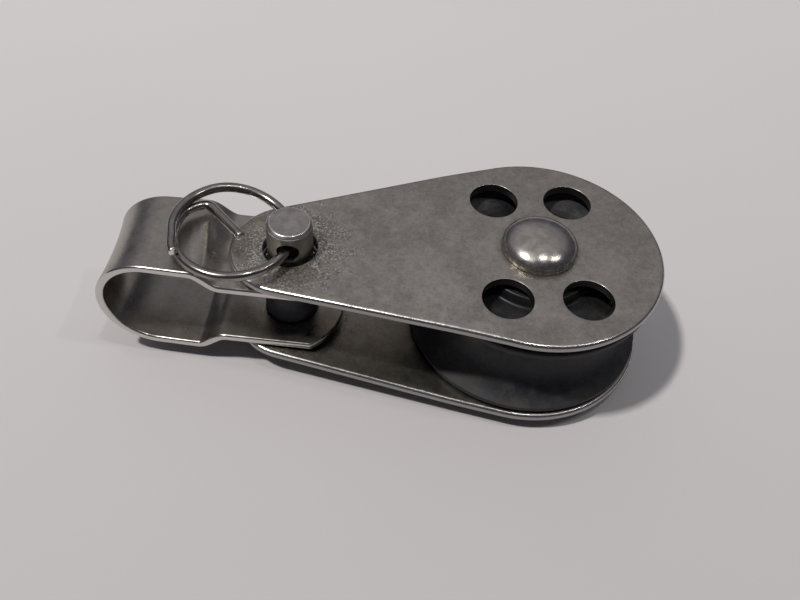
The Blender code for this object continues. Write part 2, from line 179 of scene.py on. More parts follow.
class Finish(Nodes):
    """A material round one Principled shader; fixed holds the sockets that stay constant."""

    def __init__(self, name, fixed):
        self.material = bpy.data.materials.new(name)
        self.material.use_nodes = True
        super().__init__(self.material.node_tree)
        self.shader = self.tree.nodes["Principled BSDF"]
        for socket, value in fixed.items():
            self.shader.inputs[socket].default_value = value

    def set(self, socket, value):
        self.tree.links.new(value.socket, self.shader.inputs[socket])

    def place(self):
        return self.node("ShaderNodeTexCoord", out="Object")

    def painted(self, name, out="Fac"):
        return self.node("ShaderNodeAttribute", {"attribute_name": name}, out=out)

    def moved(self, vector, turn=(0, 0, 0), scale=(1, 1, 1)):
        values = {"Vector": vector, "Rotation": turn, "Scale": scale}
        return self.node("ShaderNodeMapping", {}, values)

    def noise(self, vector, size, detail=3.0, roughness=0.55, distortion=0.0):
        """Noise whose blotches are about size metres across."""
        values = {"Vector": vector, "Scale": 1 / size, "Detail": detail,
                  "Roughness": roughness, "Distortion": distortion}
        return self.node("ShaderNodeTexNoise", {}, values)

    def rings(self, distance, size, detail=3.0):
        """Noise that changes only with distance: turned grooves about size wide."""
        values = {"W": distance, "Scale": 1 / size, "Detail": detail, "Roughness": 0.6}
        return self.node("ShaderNodeTexNoise", {"noise_dimensions": "1D"}, values)

    def specks(self, vector, size, amount):
        """Round specks of about size metres, on about that share of the cells."""
        cell = size * 3
        settings = {"feature": "F1", "distance": "EUCLIDEAN"}
        values = {"Vector": vector, "Scale": 1 / cell}
        near = self.node("ShaderNodeTexVoronoi", settings, values, "Distance")
        tint = self.node("ShaderNodeTexVoronoi", settings, values, "Color")
        chosen = self.node("ShaderNodeSeparateColor", {}, [tint]).step(1 - amount, 1 - amount + 0.02)
        return near.step(0.28, 0.10) * chosen

    def scratches(self, vector, angle, width, length, amount):
        """Fine straight marks in the XY plane, at an angle in degrees."""
        turned = self.moved(vector, (0, 0, math.radians(angle)))
        stretched = self.moved(turned, scale=(width / length, 1, 1))
        marks = self.noise(stretched, width * 4, 2.0, 0.7)
        return marks.step(0.72 - amount, 0.80 - amount)

    def crossing_scratches(self, vector, rows):
        """Scratches in several directions, each row being (angle, width, length, amount)."""
        first, *others = [self.scratches(vector, *row) for row in rows]
        return sum(others, first)

    def radius_about(self, centre):
        """Distance from an upright axis through centre."""
        flat = self.vector("MULTIPLY", [self.vector("SUBTRACT", [self.place(), centre]), (1, 1, 0)])
        return self.vector("LENGTH", [flat], "Value")

    def height(self):
        return self.node("ShaderNodeSeparateXYZ", {}, [self.place()], "Z")

    def mix(self, factor, first, second):
        """Blend two colours."""
        values = {0: factor, 6: self.as_colour(first), 7: self.as_colour(second)}
        return self.node("ShaderNodeMix", {"data_type": "RGBA"}, values, 2)

    def shade(self, colour, factor, amount):
        """Multiply a colour by amount where factor is 1."""
        values = {0: factor, 6: self.as_colour(colour), 7: (amount, amount, amount, 1.0)}
        return self.node("ShaderNodeMix", {"data_type": "RGBA", "blend_type": "MULTIPLY"}, values, 2)

    def as_colour(self, value):
        return value if isinstance(value, Signal) else (*value, 1.0)

    def bump(self, height, depth, strength=1.0):
        """Bend the normal as a relief of the given depth in metres would."""
        values = {"Strength": strength, "Distance": depth, "Height": height}
        self.set("Normal", self.node("ShaderNodeBump", {}, values))


# %% Objects
def new_object(name, data):
    """An object in the scene's own collection."""
    made = bpy.data.objects.new(name, data)
    bpy.context.scene.collection.objects.link(made)
    return made


def taken_from(obj):
    """Turn an object, with its modifiers applied, into a plain mesh, and remove the object."""
    bpy.context.view_layer.update()
    graph = bpy.context.evaluated_depsgraph_get()
    mesh = bpy.data.meshes.new_from_object(obj.evaluated_get(graph))
    bpy.data.objects.remove(obj)
    return mesh


def store_shape(shape, mesh):
    """Write a working shape into a mesh and free it."""
    shape.to_mesh(mesh)
    shape.free()
    return mesh


# %% Camera
def aim(obj, place, target, roll=0.0):
    """Put an object at place, looking at target with its -Z, rolled about that line."""
    facing = (target - place).to_track_quat("-Z", "Y").to_matrix().to_4x4()
    obj.matrix_world = Matrix.Translation(place) @ facing @ Matrix.Rotation(roll, 4, "Z")


CAMERA_TARGET = Vector((-15.0, -2.18, 8.35)) * MM
CAMERA_DISTANCE = 98.7 * MM
CAMERA_AZIMUTH = math.radians(-6.45)
CAMERA_ELEVATION = math.radians(49.1)
CAMERA_ROLL = math.radians(6.07)

camera_data = bpy.data.cameras.new("camera")
camera_data.sensor_width = 36.0
camera_data.lens = 39.25
camera_data.clip_start = 0.005
camera_data.clip_end = 20.0
camera = new_object("camera", camera_data)
back = Vector((
    math.sin(CAMERA_AZIMUTH) * math.cos(CAMERA_ELEVATION),
    -math.cos(CAMERA_AZIMUTH) * math.cos(CAMERA_ELEVATION),
    math.sin(CAMERA_ELEVATION),
))
aim(camera, CAMERA_TARGET + back * CAMERA_DISTANCE, CAMERA_TARGET, CAMERA_ROLL)
bpy.context.scene.camera = camera
bpy.context.scene.view_settings.view_transform = "Standard"
print("camera stands", [round(value / MM, 1) for value in camera.location], "mm from the origin")

# %% Floor
FLOOR_HALF = 1.5
floor_shape = bmesh.new()
bmesh.ops.create_grid(floor_shape, x_segments=1, y_segments=1, size=FLOOR_HALF)
floor_mesh = store_shape(floor_shape, bpy.data.meshes.new("floor"))
floor = new_object("floor", floor_mesh)
floor.location = (0.0, 0.0, CAD_BOX[0][2] - 0.02 * MM)
floor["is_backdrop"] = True

card = Finish("pale_card", {"Roughness": 0.75})
card_tone = card.noise(card.place(), 60 * MM, 2.0)
# Painted light: the card is painted lighter towards the far side, standing in for the lamp light falling
# off across the floor.
card_light_falloff = card.node("ShaderNodeSeparateXYZ", {}, [card.place()], "Y").step(-75 * MM, 95 * MM)
card_colour = card.mix(card_light_falloff, (0.535, 0.523, 0.520), (0.690, 0.676, 0.673))
card.set("Base Color", card.shade(card_colour, card_tone, 0.95))
card.bump(card.noise(card.place(), 0.5 * MM), 0.02 * MM, 0.3)
floor_mesh.materials.append(card.material)

# %% Lamps and room
KEY_TOWARDS = Vector((-0.43, -0.13, 0.90)).normalized()
LAMP_DISTANCE = 1.3
LAMPS = {
    "key": (KEY_TOWARDS, 0.078, 0.078, 10.6),
    "overhead": (Vector((0.13, -0.13, 0.98)), 0.07, 0.04, 1.7),
    "right": (Vector((0.50, -0.10, 0.86)), 0.07, 0.04, 1.0),
}


def add_lamp(name, towards, width, depth, power):
    lamp = bpy.data.lights.new(name, "AREA")
    lamp.shape = "RECTANGLE"
    lamp.size = width
    lamp.size_y = depth
    lamp.energy = power
    lamp.color = (1.0, 0.968, 0.94)
    aim(new_object(name, lamp), towards.normalized() * LAMP_DISTANCE, Vector((0, 0, 0)))


for lamp_name, (towards, width, depth, power) in LAMPS.items():
    add_lamp(lamp_name, towards, width, depth, power)

ROOM_STOPS = [
    (0.0, (0.035, 0.034, 0.045)),
    (0.70, (0.068, 0.066, 0.088)),
    (0.80, (0.10, 0.096, 0.125)),
    (0.88, (0.28, 0.268, 0.305)),
    (0.95, (0.38, 0.368, 0.397)),
    (1.0, (0.36, 0.348, 0.377)),
]
BRIGHT_SIDE = (0.0, 0.45, 0.85)
world = bpy.data.worlds.new("room")
world.use_nodes = True
bpy.context.scene.world = world
room = Nodes(world.node_tree)
towards = room.node("ShaderNodeTexCoord", out="Generated")
nearness = room.vector("DOT_PRODUCT", [towards, BRIGHT_SIDE], "Value")
glow = room.node("ShaderNodeValToRGB", {"stops": ROOM_STOPS}, [nearness * 0.5 + 0.5])
room.tree.links.new(glow.socket, room.tree.nodes["Background"].inputs["Color"])
print("lamps:", ", ".join(LAMPS))

# %% [markdown]
# ## Turned pieces
#
# The rivet, the bush, the sheave, the spacer and the pin are all turned: one
# profile swept round an axis.  A Screw modifier could do it.  Here a small
# Geometry Nodes tree sweeps the profile round a circle, because the same tree
# then serves every turned piece, with the number of steps and the circle's
# radius as its inputs.  Corners of a profile are rounded before the sweep, and
# each rounding has a short flat on both sides, so that the large faces beside
# it stay flat when they are shaded smooth.

# %% Profile corners
def rounded(points, sizes, steps=4, closed=False):
    """A profile with its corners rounded, as (r, z, wear); sizes gives each corner's radius."""
    result = []
    last = len(points) - 1
    for index, (point, size) in enumerate(zip(points, sizes)):
        here = Vector(point)
        if size == 0.0 or (not closed and index in (0, last)):
            result.append((here.x, here.y, 0.0))
            continue
        before = (Vector(points[index - 1]) - here).normalized()
        after = (Vector(points[(index + 1) % len(points)]) - here).normalized()
        half = before.angle(after) / 2
        start = here + before * size / math.tan(half)
        end = here + after * size / math.tan(half)
        centre = here + (before + after).normalized() * size / math.sin(half)
        beside = size * 0.12
        result.append((*(start + before * beside), 0.0))
        for step in range(steps + 1):
            spoke = (start - centre).lerp(end - centre, step / steps).normalized() * size
            result.append((*(centre + spoke), 1.0))
        result.append((*(end + after * beside), 0.0))
    return result


# %% Geometry Nodes helpers
INPUT_KINDS = {int: "NodeSocketInt", float: "NodeSocketFloat"}


def geometry_tree(name, sizes):
    """A new tree with a Geometry and a Material input, and one input for each named size."""
    tree = bpy.data.node_groups.new(name, "GeometryNodeTree")
    tree.interface.new_socket("Geometry", in_out="OUTPUT", socket_type="NodeSocketGeometry")
    tree.interface.new_socket("Geometry", in_out="INPUT", socket_type="NodeSocketGeometry")
    tree.interface.new_socket("Material", in_out="INPUT", socket_type="NodeSocketMaterial")
    for label, value in sizes.items():
        kind = INPUT_KINDS[type(value)]
        socket = tree.interface.new_socket(label, in_out="INPUT", socket_type=kind)
        socket.default_value = value
    nodes = Nodes(tree)
    inputs = tree.nodes.new("NodeGroupInput")
    return nodes, {port.name: Signal(nodes, port) for port in inputs.outputs if port.name}


def close_tree(nodes, geometry, ports):
    real = nodes.node("GeometryNodeRealizeInstances", {}, [geometry])
    values = {"Geometry": real, "Material": ports["Material"]}
    finished = nodes.node("GeometryNodeSetMaterial", {}, values)
    output = nodes.tree.nodes.new("NodeGroupOutput")
    nodes.tree.links.new(finished.socket, output.inputs["Geometry"])
    return nodes.tree


def grow(name, seed_mesh, tree, values):
    """Run a tree on a seed mesh and return the plain mesh that it makes."""
    seed = new_object(name + "_seed", seed_mesh)
    modifier = seed.modifiers.new("Grow", "NODES")
    modifier.node_group = tree
    for item in tree.interface.items_tree:
        if item.in_out == "INPUT" and item.name in values:
            modifier[item.identifier] = values[item.name]
    mesh = taken_from(seed)
    mesh.name = name
    return mesh


def closed_up(mesh):
    """Merge doubles and turn every face outwards."""
    shape = bmesh.new()
    shape.from_mesh(mesh)
    bmesh.ops.remove_doubles(shape, verts=shape.verts, dist=0.0005 * MM)
    bmesh.ops.recalc_face_normals(shape, faces=shape.faces)
    return store_shape(shape, mesh)


def smooth(mesh, angle=38):
    mesh.shade_smooth()
    mesh.set_sharp_from_angle(angle=math.radians(angle))


def seed_line(name, points, attributes, cyclic=False):
    """A line of vertices joined by edges, with one float attribute for each named list."""
    edges = [(index, index + 1) for index in range(len(points) - 1)]
    if cyclic:
        edges.append((len(points) - 1, 0))
    mesh = bpy.data.meshes.new(name)
    mesh.from_pydata(points, edges, [])
    for label, values in attributes.items():
        mesh.attributes.new(label, "FLOAT", "POINT").data.foreach_set("value", values)
    return mesh


def add_piece(name, mesh, body, node):
    """Put a finished mesh in the scene as the piece that stands for one node of the frame."""
    piece = new_object(name, mesh)
    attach(piece, body)
    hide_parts(node)
    print(f"{name}: {len(mesh.vertices)} points, {len(mesh.polygons)} faces, on {body}")
    return piece


# %% The turning tree
TURN_CIRCLE = 10.0 * MM


def make_turning_tree():
    """Sweep the seed profile, given as (r - circle, -z), round an upright circle."""
    nodes, ports = geometry_tree("turn_profile", {"Steps": 96, "Circle": TURN_CIRCLE})
    profile = nodes.node("GeometryNodeMeshToCurve", {}, [ports["Geometry"]])
    values = {"Resolution": ports["Steps"], "Radius": ports["Circle"]}
    circle = nodes.node("GeometryNodeCurvePrimitiveCircle", {}, values)
    values = {"Curve": circle, "Profile Curve": profile}
    swept = nodes.node("GeometryNodeCurveToMesh", {}, values)
    merged = nodes.node("GeometryNodeMergeByDistance", {}, {"Geometry": swept, "Distance": 0.001 * MM})
    return close_tree(nodes, merged, ports)


turning_tree = make_turning_tree()


def turned(name, profile, centre, material, steps=96, closed=True):
    """A turned mesh whose profile is a list of (r, z, wear) about an upright axis at centre."""
    points = [(r - TURN_CIRCLE, -z, 0.0) for r, z, wear in profile]
    seed = seed_line(name, points, {"wear": [wear for r, z, wear in profile]}, cyclic=closed)
    values = {"Steps": steps, "Circle": TURN_CIRCLE, "Material": material}
    mesh = closed_up(grow(name, seed, turning_tree, values))
    mesh.transform(Matrix.Translation((centre.x, centre.y, 0.0)))
    smooth(mesh)
    return mesh


# %% [markdown]
# ## Stainless for the cheeks
#
# The cheeks are stamped from sheet and then tumbled, which leaves a satin
# skin: soft warm grey blotches a few millimetres across, a fine grain under
# them, a few straight handling marks and some small pits.  The tumbling
# polishes the edges, and sea water has left a dull stain full of bright flecks
# round the pin.  A painted attribute called wear says where the edges are, so
# that the polish follows the shape of the metal.

# %% Cheek finish
def satin_steel(name, dark, light, grain=1.0):
    """The satin skin that the stamped pieces share; returns the finish and its signals."""
    steel = Finish(name, {"Metallic": 1.0})
    place = steel.place()
    blotches = steel.noise(place, 7 * MM, 4.0, 0.6, 0.4)
    mottle = steel.noise(place, 0.9 * MM, 4.0, 0.65)
    peened = steel.noise(place, 0.32 * MM, 2.0, 0.6)
    fine = steel.noise(place, 0.12 * MM, 2.0, 0.7)
    marks = steel.crossing_scratches(place, [
        (24, 0.035 * MM, 3.5 * MM, 0.05), (-58, 0.03 * MM, 2.4 * MM, 0.04), (81, 0.03 * MM, 1.8 * MM, 0.03),
    ])
    pits = steel.specks(place, 0.10 * MM, 0.07)
    tone = blotches * 0.36 + mottle * 0.29 + peened * 0.25 + fine * 0.1
    colour = steel.mix(tone.step(0.37, 0.63), dark, light)
    colour = steel.shade(colour, pits, 0.45)
    relief = fine * (0.5 * grain) + mottle * (0.9 * grain) + peened * (1.1 * grain)
    relief = relief + marks * 0.25 - pits * 1.5
    rough = 0.34 + (blotches - 0.5) * 0.16 + (mottle - 0.5) * 0.16 + pits * 0.2 - marks * 0.05
    return steel, place, colour, relief, rough


def make_cheek_finish():
    dark = (0.310, 0.292, 0.255)
    light = (0.478, 0.452, 0.396)
    steel, place, colour, relief, rough = satin_steel("tumbled_stainless", dark, light)
    wear = steel.painted("wear")
    worn = (wear + (steel.noise(place, 0.25 * MM) - 0.5) * 0.7).step(0.25, 0.75)
    from_pin = steel.radius_about(PIN)
    patch = steel.noise(place, 1.6 * MM, 3.0, 0.7)
    stain = (from_pin / (8.5 * MM) + (patch - 0.5) * 1.6).step(1.0, 0.45)
    flecks = steel.noise(place, 0.22 * MM, 2.0, 0.6).step(0.53, 0.63) * stain
    from_axle = steel.radius_about(AXLE)
    grime = from_axle.step(5.4 * MM, 4.1 * MM) * steel.noise(place, 0.8 * MM).step(0.3, 0.6)
    speckle = steel.noise(place, 0.26 * MM, 3.0, 0.65).step(0.42, 0.60)
    colour = steel.shade(colour, stain * (1 - speckle * 0.8), 0.52)
    colour = steel.mix(flecks * 0.75, colour, (0.82, 0.78, 0.69))
    salt = steel.specks(place, 0.09 * MM, 0.16) * steel.noise(place, 3 * MM, 2.0).step(0.45, 0.62)
    colour = steel.mix(salt * 0.55, colour, (0.80, 0.77, 0.70))
    # Painted shade: the lower cheek, more than 2 mm below the middle plane, is painted darker than the
    # upper one.
    lower_plate_shade = steel.height().step(MID - 2 * MM, MID - 5 * MM)
    colour = steel.shade(colour, lower_plate_shade, 0.74)
    colour = steel.shade(colour, grime * 0.8, 0.6)
    # Painted shade: the bare edge wall is painted darker, to dim its reflection of the bright floor.
    wall = wear.step(0.78, 0.93)
    # Painted shade: the walls of the four lightening holes are painted dark.
    bore = steel.painted("bore")
    colour = steel.mix(worn, colour, (0.68, 0.66, 0.63))
    colour = steel.mix(wall * 0.85, colour, (0.32, 0.31, 0.30))
    steel.set("Base Color", steel.shade(colour, bore, 0.28))
    steel.set("Roughness", rough + stain * 0.08 + grime * 0.1 - worn * 0.17 + bore * 0.15)
    sparkle = steel.noise(place, 0.20 * MM, 2.0, 0.6) * wear
    steel.bump(relief + flecks * 1.2 + sparkle * 5, 0.004 * MM, 0.6)
    return steel.material


cheek_finish = make_cheek_finish()

# %% [markdown]
# ## Cheeks
#
# Each cheek is a pear-shaped plate with a pin hole, an axle hole and four
# lightening holes.  A 2D curve with its holes as inner splines gives the
# plate and its rounded edges in one go, with no Boolean scars.  Tumbling rounds
# the outline far more than the punched holes, so the rims of the holes are
# drawn back in to a crisp edge.  The plate is cut along a fine grid, so that it
# has points enough to be cranked inwards past the sheave, to carry a slight
# wave as real sheet does, and to be painted with its wear near every edge.

# %% Plate helpers
PIN_HOLE_RADIUS = 3.0 * MM
AXLE_HOLE_RADIUS = 2.6 * MM
HOLE_RADIUS = 2.75 * MM
HOLE_CIRCLE = 8.6 * MM
HOLE_ANGLES = (60, 120, 240, 300)
EDGE_ROUND = 0.42 * MM
HOLE_ROUND = 0.08 * MM
CRANK_START = 7.4 * MM
CRANK_BLEND = 4.0 * MM
TIP_DROP = CHEEK_TOP - SHEET - upper_low.z
CRANK_SLOPE = TIP_DROP / (-upper_low.x - CRANK_START - CRANK_BLEND / 2)


def arc(centre, radius, start, end, steps):
    """Points on an arc; the angles are in radians."""
    angles = [start + (end - start) * step / steps for step in range(steps + 1)]
    return [(centre[0] + radius * math.cos(a), centre[1] + radius * math.sin(a)) for a in angles]


def hole(x, y, radius, steps=72):
    return arc((x, y), radius, 0.0, 2 * math.pi * (1 - 1 / steps), steps - 1)


def flat_plate(name, outlines, thickness, edge_round, segments=4):
    """A flat plate about z = 0 from closed outlines; an inner outline is a hole."""
    curve = bpy.data.curves.new(name, "CURVE")
    curve.dimensions = "2D"
    curve.fill_mode = "BOTH"
    curve.extrude = thickness / 2 - edge_round
    curve.bevel_depth = edge_round
    curve.bevel_resolution = segments
    curve.offset = -edge_round
    for outline in outlines:
        spline = curve.splines.new("POLY")
        spline.points.add(len(outline) - 1)
        for point, (x, y) in zip(spline.points, outline):
            point.co = (x, y, 0.0, 1.0)
        spline.use_cyclic_u = True
    mesh = taken_from(new_object(name, curve))
    mesh.materials.clear()
    return mesh


def cut_grid(mesh, lines):
    """Cut a mesh by planes; lines is a list of (axis, place)."""
    shape = bmesh.new()
    shape.from_mesh(mesh)
    bmesh.ops.remove_doubles(shape, verts=shape.verts, dist=0.0005 * MM)
    for axis, place in lines:
        point = [0.0, 0.0, 0.0]
        normal = [0.0, 0.0, 0.0]
        point[axis] = place
        normal[axis] = 1.0
        everything = shape.verts[:] + shape.edges[:] + shape.faces[:]
        bmesh.ops.bisect_plane(shape, geom=everything, dist=0.0002 * MM, plane_co=point, plane_no=normal)
    bmesh.ops.recalc_face_normals(shape, faces=shape.faces)
    store_shape(shape, mesh)


def spaced(start, end, pitch):
    count = max(1, round((end - start) / pitch))
    return [start + (end - start) * step / count for step in range(1, count)]


def points_of(mesh):
    places = np.empty(len(mesh.vertices) * 3, np.float32)
    mesh.vertices.foreach_get("co", places)
    return places.reshape(-1, 3).astype(float)


def set_points(mesh, places):
    mesh.vertices.foreach_set("co", places.astype(np.float32).ravel())
    mesh.update()


def paint(mesh, name, values):
    mesh.attributes.new(name, "FLOAT", "POINT").data.foreach_set("value", values.astype(np.float32))


def waves(x, y, seed):
    """A gentle unevenness between 0 and 1, a few waves long across the block."""
    total = np.zeros_like(x)
    for index in range(4):
        angle = seed + index * 2.1
        length = (9.0 + 3.5 * index) * MM
        along = x * math.cos(angle) + y * math.sin(angle)
        total += np.sin(2 * math.pi * along / length + 1.7 * index + seed)
    return total / 8 + 0.5


# %% Cheeks
CHEEK_GRID = 0.6 * MM
TOUCHING = 0.0004 * MM
CHEEK_WAVE = 0.014 * MM
EDGE_WEAR = 0.50 * MM
RIM_WEAR = 0.12 * MM
LEAN = math.asin((BIG_RADIUS - SMALL_RADIUS) / -PIN.x)
HOLES = [(0.0, 0.0, AXLE_HOLE_RADIUS), (PIN.x, 0.0, PIN_HOLE_RADIUS)]
for hole_angle in HOLE_ANGLES:
    hole_turn = math.radians(hole_angle)
    HOLES.append((HOLE_CIRCLE * math.cos(hole_turn), HOLE_CIRCLE * math.sin(hole_turn), HOLE_RADIUS))


def cheek_outline():
    """The taut band around the big end and the small end."""
    corner = math.pi / 2 + LEAN
    big = arc((0.0, 0.0), BIG_RADIUS, -corner, corner, 110)
    return big + arc((PIN.x, 0.0), SMALL_RADIUS, corner, 2 * math.pi - corner, 44)


def outline_distance(x, y):
    """Distance inwards from the cheek's outline."""
    side = np.abs(y) * math.cos(LEAN) - x * math.sin(LEAN)
    along = -x * math.cos(LEAN) - np.abs(y) * math.sin(LEAN)
    length = -PIN.x * math.cos(LEAN)
    big = BIG_RADIUS - np.hypot(x, y)
    small = SMALL_RADIUS - np.hypot(x - PIN.x, y)
    return np.where(along < 0, big, np.where(along > length, small, BIG_RADIUS - side))


def hole_distance(x, y, holes):
    """Distance from the rim of the nearest of these holes."""
    away = [np.hypot(x - hole_x, y - hole_y) - radius for hole_x, hole_y, radius in holes]
    return np.min(away, axis=0)


def crisp_holes(places):
    """Shrink the rounding of the hole rims, which the outline's rounding left too wide."""
    wall = SHEET / 2 - EDGE_ROUND
    for hole_x, hole_y, radius in HOLES:
        offset = places[:, :2] - (hole_x, hole_y)
        away = np.linalg.norm(offset, axis=1)
        near = away < radius + EDGE_ROUND + TOUCHING
        height = np.abs(places[near, 2])
        rise = np.clip((height - wall) / EDGE_ROUND, 0.0, 1.0)
        reach = radius + HOLE_ROUND * (1 - np.sqrt(1 - rise ** 2))
        places[near, :2] = (hole_x, hole_y) + offset[near] / away[near, None] * reach[:, None]
        level = SHEET / 2 - HOLE_ROUND * (1 - rise)
        places[near, 2] = np.sign(places[near, 2]) * np.where(height < wall * 0.5, height, level)


def crank_drop(x):
    """How far the plate has come in towards the middle plane."""
    beyond = np.maximum(0.0, -x - CRANK_START)
    blend = CRANK_SLOPE * beyond ** 2 / (2 * CRANK_BLEND)
    return np.where(beyond < CRANK_BLEND, blend, CRANK_SLOPE * (beyond - CRANK_BLEND / 2))


def make_cheek(name, side, seed):
    """side is 1 for the upper plate and -1 for the lower one."""
    outlines = [cheek_outline()] + [hole(*place) for place in HOLES]
    mesh = flat_plate(name, outlines, SHEET, EDGE_ROUND)
    lines = [(0, x) for x in spaced(upper_low.x, BIG_RADIUS, CHEEK_GRID)]
    lines += [(1, y) for y in spaced(-BIG_RADIUS, BIG_RADIUS, CHEEK_GRID)]
    cut_grid(mesh, lines)
    places = points_of(mesh)
    crisp_holes(places)
    x, y = places[:, 0], places[:, 1]
    wear = np.maximum(1 - outline_distance(x, y) / EDGE_WEAR, 0.8 - hole_distance(x, y, HOLES) / RIM_WEAR)
    paint(mesh, "wear", np.clip(wear, 0.0, 1.0))
    # This attribute marks the walls of the lightening holes, which the finish paints dark as painted shade.
    paint(mesh, "bore", np.clip(1 - hole_distance(x, y, HOLES[2:]) / HOLE_ROUND, 0.0, 1.0))
    level = CHEEK_INNER + SHEET / 2 - crank_drop(x) - CHEEK_WAVE * waves(x, y, seed)
    places[:, 2] += MID + side * level
    set_points(mesh, places)
    mesh.materials.append(cheek_finish)
    smooth(mesh)
    return add_piece(name + "_plate", mesh, "cheeks", name)


make_cheek("upper_cheek", 1, 0.6)
make_cheek("lower_cheek", -1, 2.9)

# %% [markdown]
# ## Axle rivet and bush
#
# The axle is a rivet set cold over both cheeks.  Its domed head is the
# brightest thing on the block: nearly mirror polished, but with a little
# tumbling grain, shallow dents, and dirt packed under its rim.  The dome is a
# turned profile whose points are then pushed in slightly by a few soft dents,
# because a perfect dome would give reflections that are too clean.  The bush
# is a plain turned tube that only shows as a shadow inside.

# %% Polished finish
def make_rivet_finish():
    steel = Finish("polished_rivet", {"Metallic": 1.0})
    place = steel.place()
    smear = steel.noise(place, 1.3 * MM, 4.0, 0.6, 0.5)
    grain = steel.noise(place, 0.10 * MM, 2.0, 0.6)
    rows = [(40, 0.03 * MM, 1.2 * MM, 0.06), (-25, 0.03 * MM, 1.0 * MM, 0.06)]
    marks = steel.crossing_scratches(place, rows)
    pits = steel.specks(place, 0.07 * MM, 0.10)
    rim = steel.radius_about(AXLE).step(3.75 * MM, 4.2 * MM)
    dirt = rim * steel.noise(place, 0.5 * MM).step(0.35, 0.6)
    hammered = steel.noise(place, 0.55 * MM, 2.0, 0.5)
    colour = steel.mix(smear.step(0.35, 0.7), (0.43, 0.407, 0.36), (0.58, 0.553, 0.495))
    colour = steel.shade(colour, pits, 0.5)
    steel.set("Base Color", steel.shade(colour, dirt, 0.45))
    steel.set("Roughness", 0.15 + smear * 0.13 + dirt * 0.25 + marks * 0.04)
    steel.bump(grain * 0.7 + hammered * 4 + smear * 1.5 + marks * 0.2 - pits, 0.004 * MM, 0.6)
    return steel.material


def make_bush_finish():
    steel = Finish("turned_bush", {"Metallic": 1.0})
    place = steel.place()
    grooves = steel.rings(steel.height() + steel.radius_about(AXLE), 0.06 * MM)
    oil = steel.noise(place, 2 * MM, 3.0)
    steel.set("Base Color", steel.mix(oil.step(0.35, 0.65), (0.30, 0.28, 0.25), (0.50, 0.48, 0.45)))
    steel.set("Roughness", 0.28 + grooves * 0.15 + oil * 0.1)
    steel.bump(grooves, 0.003 * MM, 0.6)
    return steel.material


# %% Rivet and bush
SHANK_RADIUS = 2.5 * MM
BUSH_INNER = 2.6 * MM
BUSH_OUTER = 3.6 * MM
RIVET_SKIRT = 0.4 * MM
FOOT_FLAT = 2.6 * MM
FOOT_SKIRT = 0.4 * MM
FACE_GAP = 0.05 * MM
DENT_DEPTH = 0.022 * MM
DENT_COUNT = 16
rivet_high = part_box("axle_rivet")[1]
RIVET_RADIUS = rivet_high.x
DOME_HEIGHT = rivet_high.z - CHEEK_TOP - FACE_GAP - RIVET_SKIRT


def rivet_profile():
    """Down the outer side, from the middle of the dome to the middle of the foot."""
    skirt_top = CHEEK_TOP + FACE_GAP + RIVET_SKIRT
    profile = []
    for step in range(25):
        turn = step / 24 * math.pi / 2
        profile.append((RIVET_RADIUS * math.sin(turn), skirt_top + DOME_HEIGHT * math.cos(turn), 0.0))
    under = CHEEK_TOP + FACE_GAP
    foot_top = lower_low.z - FACE_GAP
    corners = [
        (RIVET_RADIUS, skirt_top - 0.1 * MM), (RIVET_RADIUS, under), (SHANK_RADIUS, under),
        (SHANK_RADIUS, foot_top), (RIVET_RADIUS, foot_top), (RIVET_RADIUS, foot_top - FOOT_SKIRT),
    ]
    profile += rounded(corners, (0, 0.08 * MM, 0, 0, 0.08 * MM, 0), 3)
    height = foot_top - FOOT_SKIRT
    for step in range(1, 13):
        turn = step / 12 * math.pi / 2
        r = FOOT_FLAT + (RIVET_RADIUS - FOOT_FLAT) * math.cos(turn)
        profile.append((r, height * (1 - math.sin(turn)), 0.0))
    profile.append((0.0, 0.0, 0.0))
    return profile


def dented(mesh, centre, top, depth, count, seed):
    """Press a few soft dents into the part of a mesh that is above top."""
    places = points_of(mesh)
    chance = np.random.default_rng(seed)
    for _ in range(count):
        angle = chance.uniform(0, 2 * math.pi)
        reach = RIVET_RADIUS * 0.85 * math.sqrt(chance.uniform(0, 1))
        width = chance.uniform(0.35, 0.9) * MM
        x = centre.x + reach * math.cos(angle)
        y = centre.y + reach * math.sin(angle)
        away = np.hypot(places[:, 0] - x, places[:, 1] - y)
        press = depth * chance.uniform(0.3, 1.0) * np.exp(-(away / width) ** 2)
        places[:, 2] -= np.where(places[:, 2] > top, press, 0.0)
    set_points(mesh, places)


def make_rivet():
    mesh = turned("rivet", rivet_profile(), AXLE, make_rivet_finish(), steps=128, closed=False)
    dented(mesh, AXLE, CHEEK_TOP + FACE_GAP + RIVET_SKIRT, DENT_DEPTH, DENT_COUNT, seed=5)
    return add_piece("rivet", mesh, "cheeks", "axle_rivet")


def make_bush():
    low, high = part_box("axle_bush")
    corners = [(BUSH_OUTER, high.z), (BUSH_OUTER, low.z), (BUSH_INNER, low.z), (BUSH_INNER, high.z)]
    profile = rounded(corners, [0.12 * MM] * 4, 3, closed=True)
    mesh = turned("bush", profile, AXLE, make_bush_finish())
    return add_piece("bush", mesh, "cheeks", "axle_bush")


make_rivet()
make_bush()

# %% [markdown]
# ## Sheave
#
# The sheave is turned from dark nylon.  Its groove is a wide smooth hollow,
# its sides are recessed so that only the hub and the rim come near the
# cheeks, and the rope has polished the bottom of the groove a little.  Turning
# marks run round it, and a dry film of salt and dust lies on it in patches.

